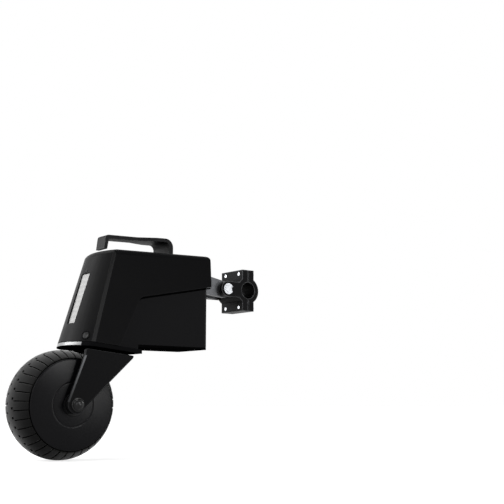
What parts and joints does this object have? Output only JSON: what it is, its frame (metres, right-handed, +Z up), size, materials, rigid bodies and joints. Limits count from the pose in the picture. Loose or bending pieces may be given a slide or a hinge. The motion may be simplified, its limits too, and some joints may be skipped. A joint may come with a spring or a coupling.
{
  "type": "wheelchair power assist",
  "caption": "Rear add-on drive unit for a manual wheelchair: axle-tube clamp, moulded battery body, pull lever and a swivelling fork with a fat hub-motor wheel.",
  "frame": {"origin": "centre of the clamped axle tube, on the middle plane", "axes": "+X forward, +Y to the left along the axle tube, +Z up; the floor is 0.294 m below the origin"},
  "size_m": [0.467, 0.131, 0.3726],
  "materials": {
    "coated_metal": "matte black powder coat",
    "steel": "zinc plated",
    "cast_aluminium": "as cast",
    "shell_plastic": "fine moulded grain, matte black",
    "case_plastic": "fine moulded grain, charcoal",
    "trim": "satin light grey",
    "lens": "frosted light grey",
    "circuit_board": "solder mask",
    "cell_wrap": "shrink sleeve",
    "copper_wire": "enamelled wire",
    "tyre_rubber": "block tread rubber",
    "lever_plastic": "matte dark grey",
    "button_rubber": "satin",
    "dark_nut": "glossy black"
  },
  "bodies": {
    "dock": {"clamp_rear_half": "coated_metal", "clamp_front_cap": "coated_metal", "clamp_screws": "steel", "docking_shaft": "steel", "shaft_clips": "steel"},
    "unit": {"chassis": "cast_aluminium", "base_plate": "shell_plastic", "lower_trim": "trim", "outer_shell": "shell_plastic", "battery_case": "case_plastic", "case_floor": "case_plastic", "battery_cells": "cell_wrap", "cell_holders": "case_plastic", "bms_board": "circuit_board", "controller_board": "circuit_board", "heat_sink": "cast_aluminium", "lower_bearing": "steel", "upper_bearing": "steel", "slip_ring": "case_plastic", "status_lens": "lens", "led_board": "circuit_board", "button_bezel": "coated_metal", "base_screws": "steel", "lever_pin": "steel", "latch_pin": "steel"},
    "fork": {"fork_crown": "coated_metal", "fork_leg_left": "coated_metal", "fork_leg_right": "coated_metal", "swivel_stem": "steel", "stem_nut": "steel", "wheel_axle": "steel", "axle_nuts": "dark_nut", "axle_spacers": "steel", "stator_core": "steel", "stator_windings": "copper_wire"},
    "wheel": {"tyre": "tyre_rubber", "rotor_drum": "steel", "rotor_magnets": "steel", "side_cover_left": "coated_metal", "side_cover_right": "coated_metal", "hub_bearings": "steel", "cover_screws": "steel"},
    "lever": {"release_lever": "lever_plastic"},
    "latch": {"latch_hook": "steel"},
    "button": {"power_button": "button_rubber"}
  },
  "joints": [
    {"name": "dock_pivot", "type": "hinge", "parent": "dock", "child": "unit", "pos_m": [-0.046, 0, 0], "axis": [0, 1, 0], "range_deg": [0, 15]},
    {"name": "fork_swivel", "type": "hinge", "parent": "unit", "child": "fork", "pos_m": [-0.29, 0, -0.11994], "axis": [0.1045, 0, 0.9945], "continuous": true},
    {"name": "wheel_spin", "type": "hinge", "parent": "fork", "child": "wheel", "pos_m": [-0.356, 0, -0.207], "axis": [0, 1, 0], "continuous": true},
    {"name": "lever_pull", "type": "hinge", "parent": "unit", "child": "lever", "pos_m": [-0.17, 0, 0.03706], "axis": [0, 1, 0], "range_deg": [0, 22], "stiffness_Nm_per_rad": 1, "springref_deg": -5.73},
    {"name": "latch_release", "type": "hinge", "parent": "unit", "child": "latch", "pos_m": [-0.084, 0, 0.009], "axis": [0, -1, 0], "range_deg": [0, 15]},
    {"name": "button_press", "type": "slide", "parent": "unit", "child": "button", "axis": [0.8426, 0.4524, -0.2924], "range_m": [0, 0.0015], "stiffness_N_per_m": 400}
  ],
  "couplings": [
    {"joint": "latch_release", "follows": "lever_pull", "ratio": 0.65}
  ]
}
